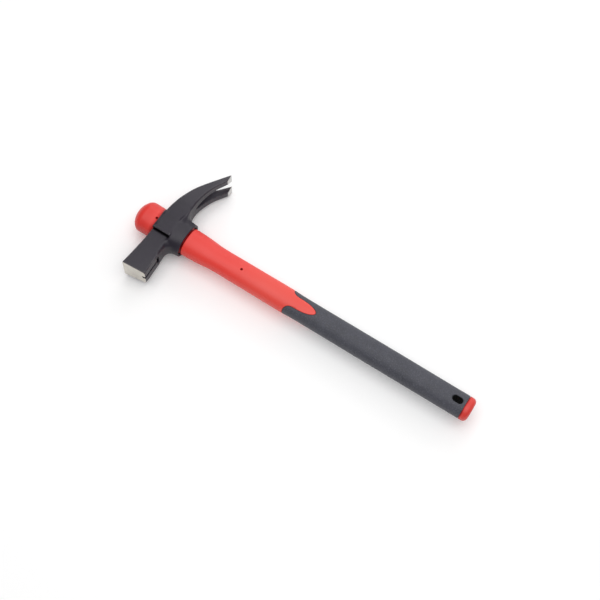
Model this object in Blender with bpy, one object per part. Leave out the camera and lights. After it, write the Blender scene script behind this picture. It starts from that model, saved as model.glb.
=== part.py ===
"""Formwork hammer: forged claw head on a two-colour moulded handle.

Design frame: X runs along the handle from the knob to the butt with 0 at the
collar's rim, Y runs from the striking face to the claw and Z runs across the
cheeks.  Lengths are drawn in units of UNIT metres, which makes the hammer
400 mm long.  The whole is then shifted so that the origin is below the middle
of its bounding box, with the hammer lying on its side.
"""
import math

import bmesh
import bpy
from mathutils import Vector

UNIT = 0.001087         # metres in one drawing unit

# ---------------------------------------------------------------- dimensions
GAP = 0.15              # half of the gap left between neighbouring pieces

# handle
KNOB_END = -57.0        # top of the domed knob
BUTT_END = 311.2        # end of the butt cap
CAP_LINE = 303.6        # joint between the grip and the butt cap
OVAL = 0.81             # thickness over width of the handle's oval
OVAL_POWER = 2.15       # a little squarer than an ellipse
KNOB_A = 16.1           # half width of the knob
KNOB_CROWN, KNOB_CREST, KNOB_SIDE = 21.0, 12.0, 10.3    # radius, its reach, where the side begins
KNOB_LEAN = 0.022       # slant of the knob's end, higher on the face's side
EYE_TOP_A = 15.85       # half width where the handle enters the head
RIM_A = 14.4            # half width where the handle leaves the collar
SHAFT_A = 12.35         # half width of the shaft below the flare
GRIP_A = 11.95          # half width of the grip
TUBE_A, TUBE_B = 9.7, 7.5      # inner tube of the casing, under the grip
CORE_A, CORE_B = 7.0, 5.2      # glass-fibre rod
CORE_TOP, CORE_END = -50.0, 284.0
BORE_CLEAR = 0.3
PIN_HOLES = ((-34.6, -0.7, 1.2), (61.4, 0.0, 1.2))     # station, offset and radius
HANG_X, HANG_LENGTH, HANG_WIDTH = 295.0, 10.6, 6.4

# red tongue that runs into the grip, seen from above
LOBE_X = 114.0          # where the grip's side lobes begin
TONGUE_ROOT_X, TONGUE_ROOT_Y = 121.5, 6.0
TONGUE_BEND_X, TONGUE_BEND_Y = 125.0, 5.95
TONGUE_TIP_X = 143.4

# head
EYE_TOP = -33.2
FACE_TILT = math.radians(5.3)
FACE_MID_X, FACE_MID_Y = -22.85, -55.2
FACE_LOW_X, FACE_HIGH_X = -35.1, -11.2
FACE_LOW_Z, FACE_HIGH_Z = 13.35, 10.55      # half thickness at the two sides of the face
FACE_CHAMFER = 0.4
EYE_CLEAR = 0.25
PAD_FRONT = -10.3
PAD_Z = 14.9
CLAW_TIP_X, CLAW_TIP_Y, CLAW_TIP_Z = 0.6, 75.4, 18.0
GROOVE_Z, GROOVE_HALF, GROOVE_DEPTH = 0.1, 1.8, 3.3
MAGNET_Y, MAGNET_R = -37.2, 1.4
POCKET_Y, POCKET_HALF = (-33.6, -30.2), 5.6     # slot that takes the nail's head

# poll sections: distance of the section, tilt, low x, high x, half thickness at
# the low and at the high side
POLL = (
    (FACE_MID_Y, 1.0, FACE_LOW_X + FACE_CHAMFER, FACE_HIGH_X - FACE_CHAMFER,
     FACE_LOW_Z - FACE_CHAMFER, FACE_HIGH_Z - FACE_CHAMFER),
    (FACE_MID_Y + FACE_CHAMFER, 1.0, FACE_LOW_X, FACE_HIGH_X, FACE_LOW_Z, FACE_HIGH_Z),
    (-46.0, 0.8, -34.3, -11.6, 12.6, 10.75),
    (-34.0, 0.4, -33.4, -12.1, 11.8, 10.95),
    (-22.0, 0.0, -32.6, -12.6, 11.35, 11.15),
    (-6.0, 0.0, -32.2, -13.0, 11.2, 11.2),
)

# cheek pad running on into the claw: outer (convex) point, inner (concave)
# point, half thickness at the outer and at the inner side
CLAW = (
    ((EYE_TOP, PAD_FRONT), (-13.0, PAD_FRONT), PAD_Z, PAD_Z),
    ((EYE_TOP, 0.0), (-13.0, 0.0), PAD_Z, PAD_Z),
    ((EYE_TOP, 9.0), (-12.4, 9.0), PAD_Z, PAD_Z - 0.1),
    ((-31.2, 14.5), (-11.0, 14.5), 14.65, 14.1),
    ((-30.55, 20.7), (-11.4, 20.0), 14.1, 13.1),
    ((-29.1, 28.7), (-12.6, 26.5), 13.4, 11.4),
    ((-26.4, 37.2), (-12.6, 34.0), 13.15, 11.65),
    ((-22.6, 45.5), (-11.3, 41.8), 13.55, 12.75),
    ((-17.7, 53.0), (-9.1, 49.6), 14.35, 13.8),
    ((-12.3, 60.0), (-6.2, 57.0), 15.3, 14.6),
    ((-6.1, 67.5), (-2.4, 63.6), 16.5, 15.25),
    ((CLAW_TIP_X, CLAW_TIP_Y), (CLAW_TIP_X, 69.0), CLAW_TIP_Z, 16.0),
)

# slot between the tines: place along the claw, half width on its outer and inner line
SLOT = ((0.545, 0.8, 1.3), (0.575, 1.2, 2.4), (0.635, 2.1, 4.0), (0.70, 3.1, 5.3),
        (0.75, 3.7, 6.0), (0.80, 4.2, 6.6), (0.855, 4.6, 7.3), (0.91, 4.8, 7.9), (1.0, 4.5, 8.1))

TIP_CHAMFER = 0.7
CLAW_REACH = CLAW_TIP_Z - (CLAW_TIP_Z - CLAW[-1][3]) * TIP_CHAMFER / (CLAW_TIP_Y - CLAW[-1][1][1])
SHIFT = Vector((-(KNOB_END + BUTT_END) / 2.0,
                -(FACE_MID_Y + (FACE_LOW_X + FACE_CHAMFER - FACE_MID_X) * math.tan(FACE_TILT)
                  + CLAW_TIP_Y) / 2.0,
                CLAW_REACH))

# ------------------------------------------------------------------- helpers
for old in list(bpy.data.objects):
    bpy.data.objects.remove(old, do_unlink=True)

parts = bpy.data.collections.new("formwork_hammer")
cutters = bpy.data.collections.new("cutters")
for coll in (parts, cutters):
    bpy.context.scene.collection.children.link(coll)
cutters.hide_render = True


def place(point):
    """Drawing units to metres in the part's own frame."""
    return (Vector(point) + SHIFT) * UNIT


def finish_mesh(name, bm, coll):
    bmesh.ops.recalc_face_normals(bm, faces=bm.faces[:])
    mesh = bpy.data.meshes.new(name)
    bm.to_mesh(mesh)
    bm.free()
    obj = bpy.data.objects.new(name, mesh)
    coll.objects.link(obj)
    if coll is cutters:
        obj.hide_render = True
        obj.display_type = 'WIRE'
    return obj


def loft(name, rings, coll=cutters):
    """Closed solid through rings of equally many points."""
    bm = bmesh.new()
    rows = [[bm.verts.new(place(p)) for p in ring] for ring in rings]
    for row, nxt in zip(rows, rows[1:]):
        n = len(row)
        for i in range(n):
            j = (i + 1) % n
            bm.faces.new((row[i], row[j], nxt[j], nxt[i]))
    bm.faces.new(rows[0])
    bm.faces.new(list(reversed(rows[-1])))
    bmesh.ops.triangulate(bm, faces=bm.faces[:])
    return finish_mesh(name, bm, coll)


def cylinder(name, start, end, radius, sides=24, coll=cutters):
    """Straight round bar between two design points."""
    a, b = place(start), place(end)
    axis = b - a
    bm = bmesh.new()
    bmesh.ops.create_cone(bm, cap_ends=True, segments=sides, radius1=radius * UNIT,
                          radius2=radius * UNIT, depth=axis.length)
    rot = axis.to_track_quat('Z', 'Y').to_matrix().to_4x4()
    bmesh.ops.transform(bm, matrix=rot, verts=bm.verts[:])
    bmesh.ops.translate(bm, vec=(a + b) / 2.0, verts=bm.verts[:])
    return finish_mesh(name, bm, coll)


def block(name, low, high, coll=cutters):
    """Box between two design corners."""
    lo, hi = place(low), place(high)
    bm = bmesh.new()
    bmesh.ops.create_cube(bm, size=1.0)
    bmesh.ops.scale(bm, vec=hi - lo, verts=bm.verts[:])
    bmesh.ops.translate(bm, vec=(lo + hi) / 2.0, verts=bm.verts[:])
    return finish_mesh(name, bm, coll)


def prism(name, outline, half_height, coll=cutters):
    """Flat outline in XY, extruded equally up and down from Z = 0."""
    curve = bpy.data.curves.new(name + "_outline", 'CURVE')
    curve.dimensions = '2D'
    curve.fill_mode = 'BOTH'
    curve.extrude = half_height * UNIT
    spline = curve.splines.new('POLY')
    spline.points.add(len(outline) - 1)
    for point, (x, y) in zip(spline.points, outline):
        p = place((x, y, 0.0))
        point.co = (p.x, p.y, 0.0, 1.0)
    spline.use_cyclic_u = True
    guide = bpy.data.objects.new(name + "_outline", curve)
    cutters.objects.link(guide)
    guide.location.z = place((0, 0, 0)).z
    bpy.context.view_layer.update()
    graph = bpy.context.evaluated_depsgraph_get()
    mesh = bpy.data.meshes.new_from_object(guide.evaluated_get(graph))
    bm = bmesh.new()
    bm.from_mesh(mesh)
    bmesh.ops.transform(bm, matrix=guide.matrix_world, verts=bm.verts[:])
    bmesh.ops.remove_doubles(bm, verts=bm.verts[:], dist=1e-6)
    bpy.data.objects.remove(guide, do_unlink=True)
    bpy.data.meshes.remove(mesh)
    return finish_mesh(name, bm, coll)


def combine(obj, operation, *others):
    for other in others:
        mod = obj.modifiers.new(operation.lower() + "_" + other.name, 'BOOLEAN')
        mod.operation = operation
        mod.solver = 'EXACT'
        mod.object = other


def material(obj, name, colour, roughness, metallic=0.0):
    mat = bpy.data.materials.new(name)
    mat.use_nodes = True
    shader = mat.node_tree.nodes["Principled BSDF"]
    shader.inputs["Base Color"].default_value = (*colour, 1.0)
    shader.inputs["Roughness"].default_value = roughness
    shader.inputs["Metallic"].default_value = metallic
    obj.data.materials.append(mat)
    obj.data.shade_smooth()
    obj.data.set_sharp_from_angle(angle=math.radians(32))


def oval(x, a, b, sides=40, power=OVAL_POWER):
    """Ring of the handle's oval section at station x, or of a squarer one."""
    ring = []
    for i in range(sides):
        t = 2.0 * math.pi * i / sides
        c, s = math.cos(t), math.sin(t)
        e = 2.0 / power
        ring.append((x, a * math.copysign(abs(c) ** e, c), b * math.copysign(abs(s) ** e, s)))
    return ring


def spline_rows(rows, count):
    """Smooth (Catmull-Rom) resampling of a table of equal-length number rows."""
    out = []
    n = len(rows) - 1
    for k in range(count + 1):
        u = n * k / count
        i = min(int(u), n - 1)
        f = u - i
        p0, p1, p2, p3 = (rows[max(i - 1, 0)], rows[i], rows[i + 1], rows[min(i + 2, n)])
        out.append(tuple(
            0.5 * (2 * b + (c - a) * f + (2 * a - 5 * b + 4 * c - d) * f * f
                   + (3 * b - a - 3 * c + d) * f ** 3)
            for a, b, c, d in zip(p0, p1, p2, p3)))
    return out


# -------------------------------------------------------------------- handle
def knob_rings():
    """Rings of the knob's crowned end, from its middle out to its straight side."""
    line = [(0.0, 1.0)]
    for k in range(1, 6):
        r = KNOB_CREST * k / 5
        line.append((KNOB_CROWN - math.sqrt(KNOB_CROWN ** 2 - r * r), r))
    h0, r0 = line[-1]
    slope = r0 / math.sqrt(KNOB_CROWN ** 2 - r0 * r0)
    corner = ((h0, r0), (h0 + 2.4 * slope, r0 + 2.4), (KNOB_SIDE - 2.7, KNOB_A), (KNOB_SIDE, KNOB_A))
    for k in range(1, 7):
        t = k / 6
        share = ((1 - t) ** 3, 3 * t * (1 - t) ** 2, 3 * t * t * (1 - t), t ** 3)
        line.append((sum(w * h for w, (h, _) in zip(share, corner)),
                     sum(w * r for w, (_, r) in zip(share, corner))))
    rings = []
    for h, a in line:
        lean = KNOB_LEAN * min(1.0, max(0.0, (a - 3.0) / 9.0))
        rings.append([(x + lean * y, y, z) for x, y, z in oval(KNOB_END + h, a, a * OVAL)])
    return rings


handle_line = [(-40.0, KNOB_A - 0.05), (EYE_TOP, EYE_TOP_A), (0.0, RIM_A),
               (10.0, 14.15), (20.0, 13.6), (26.0, 13.0), (32.0, 12.5), (42.0, 12.25),
               (54.0, SHAFT_A), (84.0, SHAFT_A + 0.08), (102.0, SHAFT_A + 0.2),
               (112.0, SHAFT_A + 0.18), (122.0, GRIP_A + 0.15), (134.0, GRIP_A), (148.0, GRIP_A)]
skin = loft("casing_skin", knob_rings() + [oval(x, a, a * OVAL) for x, a in handle_line])


def red_outline(grow):
    """Outline of the red part's end seen from above, grown by a small offset."""
    half = [(90.0, 30.0), (LOBE_X + grow, 30.0)]
    depth = TONGUE_ROOT_X - LOBE_X
    side = GRIP_A + 0.5 - TONGUE_ROOT_Y
    for k in range(7):
        t = math.pi / 2.0 * k / 6
        half.append((TONGUE_ROOT_X + grow - depth * math.cos(t),
                     GRIP_A + 0.5 + grow - side * math.sin(t)))
    for k in range(9):
        t = math.pi / 2.0 * k / 8
        half.append((TONGUE_BEND_X + (TONGUE_TIP_X + grow - TONGUE_BEND_X) * math.sin(t),
                     (TONGUE_BEND_Y + grow) * math.cos(t)))
    return half + [(x, -y) for x, y in reversed(half[:-1])]


casing = loft("handle_casing", [oval(x, TUBE_A - GAP, TUBE_B - GAP)
                                for x in (60.0, CAP_LINE - GAP)], parts)
# the skin keeps only what lies inside the red outline beyond the lobes
grip_zone = prism("grip_zone", red_outline(-GAP)[1:-1] + [(170.0, -30.0), (170.0, 30.0)], 30.0)
combine(skin, 'DIFFERENCE', grip_zone)
combine(casing, 'UNION', skin)
bore = loft("core_bore", [oval(x, CORE_A + BORE_CLEAR, CORE_B + BORE_CLEAR)
                          for x in (CORE_TOP - 0.4, BUTT_END + 10.0)])
hang = prism("hang_hole", [
    (HANG_X + sx * (HANG_LENGTH - HANG_WIDTH) / 2.0 + HANG_WIDTH / 2.0 * math.cos(t),
     HANG_WIDTH / 2.0 * math.sin(t))
    for sx, start in ((1, -90.0), (-1, 90.0))
    for t in [math.radians(start + 180.0 * k / 10) for k in range(11)]], 30.0)
combine(casing, 'DIFFERENCE', bore, hang,
        *[cylinder("pin_hole_%d" % i, (x, y, 3.0), (x, y, 20.0), radius, 16)
          for i, (x, y, radius) in enumerate(PIN_HOLES)])
material(casing, "red_polypropylene", (0.78, 0.065, 0.05), 0.42)

core = loft("handle_core", [oval(x, CORE_A, CORE_B) for x in (CORE_TOP, CORE_END)], parts)
material(core, "glass_fibre", (0.62, 0.55, 0.36), 0.5)

# ---------------------------------------------------------------------- grip
grip_line = [(112.0, SHAFT_A + 0.18), (122.0, GRIP_A + 0.15), (134.0, GRIP_A),
             (150.0, GRIP_A), (200.0, GRIP_A + 0.05), (250.0, GRIP_A), (285.0, 11.85),
             (CAP_LINE - 2 * GAP, 11.9)]
grip = loft("grip_sleeve", [oval(x, a, a * OVAL) for x, a in grip_line], parts)
combine(grip, 'DIFFERENCE',
        loft("tube_room", [oval(x, TUBE_A + GAP, TUBE_B + GAP) for x in (90.0, BUTT_END)]),
        prism("red_room", red_outline(GAP), 30.0), hang)
material(grip, "grey_soft_grip", (0.085, 0.09, 0.10), 0.72)

# ------------------------------------------------------------------ butt cap
cap_line = [(CAP_LINE, 11.9), (306.9, 11.85)]
for k in range(1, 6):
    t = math.radians(80.0 * k / 5)
    cap_line.append((306.9 + (BUTT_END - 306.9) * math.sin(t) / math.sin(math.radians(80.0)),
                     11.85 - 4.6 * (1.0 - math.cos(t))))
cap = loft("butt_cap", [oval(x, a, a * OVAL) for x, a in cap_line], parts)
combine(cap, 'UNION', loft("cap_spigot", [oval(x, CORE_A, CORE_B)
                                          for x in (CORE_END + 1.0, CAP_LINE + 2.0)]))
combine(cap, 'DIFFERENCE', hang)
material(cap, "red_polypropylene_cap", (0.78, 0.065, 0.05), 0.42)


# ---------------------------------------------------------------------- head
def poll_ring(y, tilt, x0, x1, low, high):
    """Rounded trapezium across the poll, thicker on its outer side."""
    ring = []
    corners = ((x1, high, 1.6, 0), (x0, low, 1.1, 90), (x0, -low, 1.1, 180), (x1, -high, 1.6, 270))
    for x, z, r, start in corners:
        cx, cz = x - math.copysign(r, x - FACE_MID_X), z - math.copysign(r, z)
        for k in range(5):
            t = math.radians(start + 22.5 * k)
            ring.append((cx + r * math.cos(t), 0.0, cz + r * math.sin(t)))
    slope = tilt * math.tan(FACE_TILT)
    return [(x, y + slope * (x - FACE_MID_X), z) for x, _, z in ring]


def claw_ring(row):
    """Eight-sided section between the claw's outer and inner line."""
    ox, oy, ix, iy, ow, iw = row
    length = math.hypot(ix - ox, iy - oy)
    outer = min(1.6 if oy < 10.0 else TIP_CHAMFER, 0.16 * length)
    inner = min(1.3, 0.22 * length)
    ring = []
    for u, z in ((0.0, ow - outer), (outer / length, None), (1.0 - inner / length, None),
                 (1.0, iw - inner)):
        w = ow + (iw - ow) * u if z is None else z
        ring.append((ox + (ix - ox) * u, oy + (iy - oy) * u, w))
    return ring + [(x, y, -z) for x, y, z in reversed(ring)]


claw_rows = [(o[0], o[1], i[0], i[1], ow, iw) for o, i, ow, iw in CLAW]
head = loft("forged_head", [poll_ring(*row) for row in POLL], parts)
claw = loft("claw_and_pads", [claw_ring(row) for row in spline_rows(claw_rows, 33)])
collar_line = ((-16.0, 18.2, 14.85, 2.75), (-13.0, 18.2, 14.85, 2.75), (-9.0, 18.05, 14.7, 2.5),
               (-4.0, 17.75, 14.4, 2.25), (-0.25, 17.45, 14.15, 2.15), (0.0, 17.2, 13.9, 2.15))
collar = loft("collar", [oval(x, a, b, 48, power) for x, a, b, power in collar_line])

# concave fillet from the poll's handle side into the collar
FILLET_R = 7.0
fillet_rings = []
for k in range(9):
    z = -9.0 + 18.0 * k / 8
    reach = -17.9 * (1.0 - (abs(z) / 14.5) ** OVAL_POWER) ** (1.0 / OVAL_POWER)
    ring = [(-16.0, reach - FILLET_R, z)]
    for j in range(9):
        t = math.radians(180.0 - 90.0 * j / 8)
        ring.append((-12.7 + FILLET_R + FILLET_R * math.cos(t),
                     reach - FILLET_R + FILLET_R * math.sin(t), z))
    ring += [(-12.7 + FILLET_R, reach + 3.0, z), (-16.0, reach + 3.0, z)]
    fillet_rings.append(ring)
fillet = loft("poll_fillet", fillet_rings)

slot_rings = []
claw_line = spline_rows(claw_rows, 2200)
slot_rows = spline_rows(SLOT, 32)
for k, (share, outer, inner) in enumerate(slot_rows + slot_rows[-1:]):
    ox, oy, ix, iy = claw_line[min(round(2200 * share), 2200)][:4]
    if k == len(slot_rows):                 # carried on beyond the tips
        ox, oy, ix, iy = ox + 4.0, oy + 5.2, ix + 4.0, iy + 5.2
    ring = [(ox + (ix - ox) * u, oy + (iy - oy) * u, outer + (inner - outer) * u)
            for u in (-0.4, 0.0, 0.35, 0.7, 1.0, 1.4)]
    slot_rings.append(ring + [(x, y, -z) for x, y, z in reversed(ring)])
slot = loft("claw_slot", slot_rings)

eye = loft("eye", [oval(x, RIM_A + (EYE_TOP_A - RIM_A) * x / EYE_TOP + EYE_CLEAR,
                        (RIM_A + (EYE_TOP_A - RIM_A) * x / EYE_TOP) * OVAL + EYE_CLEAR)
                   for x in (EYE_TOP - 8.0, 8.0)])
groove_rings = []
for y in (-64.0, -33.0):
    deep = -12.1 + (FACE_HIGH_X + 12.1) * (y + 34.0) / (FACE_MID_Y + 34.0) - GROOVE_DEPTH
    groove_rings.append([(deep, y, GROOVE_Z - GROOVE_HALF), (-5.0, y, GROOVE_Z - GROOVE_HALF),
                         (-5.0, y, GROOVE_Z + GROOVE_HALF), (deep, y, GROOVE_Z + GROOVE_HALF)])
groove = loft("nail_groove", groove_rings)
pocket = block("nail_head_pocket", (-16.6, POCKET_Y[0], GROOVE_Z - POCKET_HALF),
               (-8.0, POCKET_Y[1], GROOVE_Z + POCKET_HALF))
seat = cylinder("magnet_seat", (-19.4, MAGNET_Y, GROOVE_Z), (-8.0, MAGNET_Y, GROOVE_Z), MAGNET_R + 0.2)
combine(head, 'UNION', claw, collar, fillet)
combine(head, 'DIFFERENCE', eye, slot, groove, pocket, seat)
material(head, "black_forged_steel", (0.045, 0.045, 0.05), 0.5, 0.35)

magnet = cylinder("nail_magnet", (-19.2, MAGNET_Y, GROOVE_Z), (-15.5, MAGNET_Y, GROOVE_Z),
                  MAGNET_R, 24, parts)
material(magnet, "magnet_steel", (0.35, 0.35, 0.36), 0.35, 1.0)
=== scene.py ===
"""Looks of the formwork hammer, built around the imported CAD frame.

The drawing units, the design frame and every main dimension are the CAD
part's own: X runs along the handle from the knob to the butt with 0 at the
collar's rim, Y from the striking face to the claw and Z across the cheeks.
The head is a blended solid field that is turned into a fine mesh; the handle,
the grip and the butt cap are fine lofts with moulded edges and real holes.
"""

import math

import bmesh
import bpy
import numpy as np
from mathutils import Matrix, Vector


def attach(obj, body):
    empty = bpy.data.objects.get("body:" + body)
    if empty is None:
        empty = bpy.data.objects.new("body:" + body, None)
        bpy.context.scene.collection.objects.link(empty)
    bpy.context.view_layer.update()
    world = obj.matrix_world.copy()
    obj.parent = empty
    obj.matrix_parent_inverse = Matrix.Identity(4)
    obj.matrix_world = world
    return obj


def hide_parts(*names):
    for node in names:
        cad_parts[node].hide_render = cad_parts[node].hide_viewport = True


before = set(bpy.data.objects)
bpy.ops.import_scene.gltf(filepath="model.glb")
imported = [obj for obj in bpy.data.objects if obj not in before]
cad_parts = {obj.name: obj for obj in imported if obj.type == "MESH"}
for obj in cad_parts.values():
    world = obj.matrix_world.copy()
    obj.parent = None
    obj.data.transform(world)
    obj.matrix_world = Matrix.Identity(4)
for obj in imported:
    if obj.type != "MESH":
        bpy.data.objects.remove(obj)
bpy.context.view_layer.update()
scene = bpy.context.scene

# ------------------------------------------------------------------ dimensions
UNIT = 0.001087
GAP = 0.15

KNOB_END, BUTT_END, CAP_LINE = -57.0, 311.2, 303.6
OVAL, OVAL_POWER = 0.81, 2.15
KNOB_A, EYE_TOP_A, RIM_A, SHAFT_A, GRIP_A = 16.1, 15.85, 14.4, 12.35, 11.95
KNOB_CROWN, KNOB_CREST, KNOB_SIDE = 21.0, 12.0, 10.3    # radius, its reach, where the side begins
KNOB_LEAN = 0.022       # slant of the knob's end, higher on the face's side
TUBE_A, TUBE_B = 9.7, 7.5
BORE_A, BORE_TOP = 7.3, -50.4      # bore that takes the core
PIN_HOLES = ((-34.6, -0.7, 1.2), (61.4, 0.0, 1.2))     # station, offset, radius
HANG_X, HANG_LENGTH, HANG_WIDTH = 295.0, 10.6, 6.4

LOBE_X = 114.0
TONGUE_ROOT_X, TONGUE_ROOT_Y = 121.5, 6.0
TONGUE_BEND_X, TONGUE_BEND_Y = 125.0, 5.95
TONGUE_TIP_X = 143.4

EYE_TOP = -33.2
FACE_TILT = math.radians(5.3)
FACE_MID_X, FACE_MID_Y = -22.85, -55.2
FACE_LOW_X, FACE_HIGH_X = -35.1, -11.2
FACE_CHAMFER = 0.4
EYE_CLEAR = 0.25
PAD_FRONT, PAD_BACK, PAD_Z, PAD_SIDE = -10.3, 10.6, 14.9, -13.0
CLAW_TIP_X, CLAW_TIP_Y, CLAW_TIP_Z = 0.6, 75.4, 18.0
TIP_CHAMFER = 0.7
GROOVE_Z, GROOVE_HALF, GROOVE_DEPTH = 0.1, 1.8, 3.3
MAGNET_Y, MAGNET_R = -37.2, 1.4
POCKET_Y, POCKET_HALF = (-33.6, -30.2), 5.6

CLAW_REACH = CLAW_TIP_Z - (CLAW_TIP_Z - 16.0) * TIP_CHAMFER / (CLAW_TIP_Y - 69.0)
SHIFT = np.array((-(KNOB_END + BUTT_END) / 2.0,
                  -(FACE_MID_Y + (FACE_LOW_X + FACE_CHAMFER - FACE_MID_X) * math.tan(FACE_TILT)
                    + CLAW_TIP_Y) / 2.0,
                  CLAW_REACH))


def place(points):
    """Drawing units to metres in the part's frame."""
    return (np.asarray(points, float) + SHIFT) * UNIT


# --------------------------------------------------------------------- helpers
def mesh_object(name, verts, faces, materials, sharp=None):
    mesh = bpy.data.meshes.new(name)
    mesh.from_pydata(place(verts).tolist(), [], faces)
    mesh.validate()
    shell = bmesh.new()
    shell.from_mesh(mesh)
    bmesh.ops.recalc_face_normals(shell, faces=shell.faces)
    shell.to_mesh(mesh)
    shell.free()
    mesh.update()
    for material in materials:
        mesh.materials.append(material)
    mesh.shade_smooth()
    if sharp is not None:
        mesh.set_sharp_from_angle(angle=math.radians(sharp))
    obj = bpy.data.objects.new(name, mesh)
    scene.collection.objects.link(obj)
    return obj


def mark(obj, name, values):
    """Stores a number for each vertex, for the look to read."""
    stored = obj.data.attributes.new(name, "FLOAT", "POINT")
    stored.data.foreach_set("value", np.asarray(values, np.float32))


def tidy(obj):
    """Drops points that a hole has left without a face, and closes up edges where four faces meet."""
    shell = bmesh.new()
    shell.from_mesh(obj.data)
    spare = [v for v in shell.verts if not v.link_faces]
    bmesh.ops.delete(shell, geom=spare, context="VERTS")
    crossed = [e for e in shell.edges if len(e.link_faces) > 2]
    bmesh.ops.collapse(shell, edges=crossed)
    shell.to_mesh(obj.data)
    shell.free()
    obj.data.update()


def spline_rows(rows, count):
    """Catmull-Rom resampling of a table of equal-length number rows."""
    rows = np.asarray(rows, float)
    n = len(rows) - 1
    u = np.linspace(0.0, n, count + 1)
    i = np.minimum(u.astype(int), n - 1)
    f = (u - i)[:, None]
    a, b = rows[np.maximum(i - 1, 0)], rows[i]
    c, d = rows[i + 1], rows[np.minimum(i + 2, n)]
    return 0.5 * (2 * b + (c - a) * f + (2 * a - 5 * b + 4 * c - d) * f ** 2
                  + (3 * b - a - 3 * c + d) * f ** 3)


def monotone(table):
    """Smooth curve through (x, value) pairs that never overshoots."""
    x, y = np.array(table, float).T
    step = np.diff(x)
    slope = np.diff(y) / step
    tangent = np.zeros_like(y)
    tangent[0], tangent[-1] = slope[0], slope[-1]
    for k in range(1, len(x) - 1):
        if slope[k - 1] * slope[k] > 0.0:
            w1, w2 = 2 * step[k] + step[k - 1], step[k] + 2 * step[k - 1]
            tangent[k] = (w1 + w2) / (w1 / slope[k - 1] + w2 / slope[k])

    def curve(at):
        at = np.asarray(at, float)
        k = np.clip(np.searchsorted(x, at) - 1, 0, len(x) - 2)
        t = np.clip((at - x[k]) / step[k], 0.0, 1.0)
        h = step[k]
        return ((1 + 2 * t) * (1 - t) ** 2 * y[k] + t * (1 - t) ** 2 * h * tangent[k]
                + t * t * (3 - 2 * t) * y[k + 1] + t * t * (t - 1) * h * tangent[k + 1])

    return curve


def smoothstep(low, high, value):
    t = np.clip((value - low) / (high - low), 0.0, 1.0)
    return t * t * (3.0 - 2.0 * t)


# ------------------------------------------------------------------- materials
def node(tree, kind, inputs=(), **settings):
    made = tree.nodes.new(kind)
    for key, value in settings.items():
        setattr(made, key, value)
    for key, value in dict(inputs).items():
        if isinstance(value, bpy.types.NodeSocket):
            tree.links.new(value, made.inputs[key])
        else:
            made.inputs[key].default_value = value
    return made


def new_look(name):
    material = bpy.data.materials.new(name)
    material.use_nodes = True
    tree = material.node_tree
    tree.nodes.clear()
    shader = node(tree, "ShaderNodeBsdfPrincipled")
    out = node(tree, "ShaderNodeOutputMaterial")
    tree.links.new(shader.outputs["BSDF"], out.inputs["Surface"])
    where = node(tree, "ShaderNodeTexCoord").outputs["Object"]
    return material, tree, shader, where


def noise(tree, where, scale, detail=2.0, roughness=0.5, stretch=None, distortion=0.0):
    if stretch is not None:
        where = node(tree, "ShaderNodeMapping", {"Vector": where, "Scale": stretch}).outputs[0]
    return node(tree, "ShaderNodeTexNoise", {
        "Vector": where, "Scale": scale, "Detail": detail, "Roughness": roughness,
        "Distortion": distortion}).outputs[0]


def ranged(tree, value, low, high, to_low, to_high):
    return node(tree, "ShaderNodeMapRange", {
        "Value": value, "From Min": low, "From Max": high, "To Min": to_low,
        "To Max": to_high}, interpolation_type="SMOOTHSTEP").outputs[0]


def mix_colour(tree, factor, first, second):
    made = node(tree, "ShaderNodeMix", data_type="RGBA")
    for index, value in ((0, factor), (6, first), (7, second)):
        if isinstance(value, bpy.types.NodeSocket):
            tree.links.new(value, made.inputs[index])
        else:
            made.inputs[index].default_value = value
    return made.outputs[2]


def mix_value(tree, factor, first, second):
    made = node(tree, "ShaderNodeMix", data_type="FLOAT")
    for index, value in ((0, factor), (2, first), (3, second)):
        if isinstance(value, bpy.types.NodeSocket):
            tree.links.new(value, made.inputs[index])
        else:
            made.inputs[index].default_value = value
    return made.outputs[0]


def maths(tree, operation, first, second=0.0, clamp=False):
    return node(tree, "ShaderNodeMath", {0: first, 1: second}, operation=operation,
                use_clamp=clamp).outputs[0]


def bump(tree, height, distance, strength=1.0, normal=None):
    inputs = {"Height": height, "Distance": distance, "Strength": strength}
    if normal is not None:
        inputs["Normal"] = normal
    return node(tree, "ShaderNodeBump", inputs).outputs[0]


FACE_NORMAL = (math.sin(FACE_TILT), -math.cos(FACE_TILT), 0.0)


def past_plane(tree, where, point, normal, from_units, to_units):
    """1 where the surface lies beyond a plane in drawing units, 0 behind it."""
    along = node(tree, "ShaderNodeVectorMath", {0: where, 1: normal},
                 operation="DOT_PRODUCT").outputs["Value"]
    zero = float(np.dot(place([point])[0], normal))
    return ranged(tree, along, zero + from_units * UNIT, zero + to_units * UNIT, 0.0, 1.0)


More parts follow.
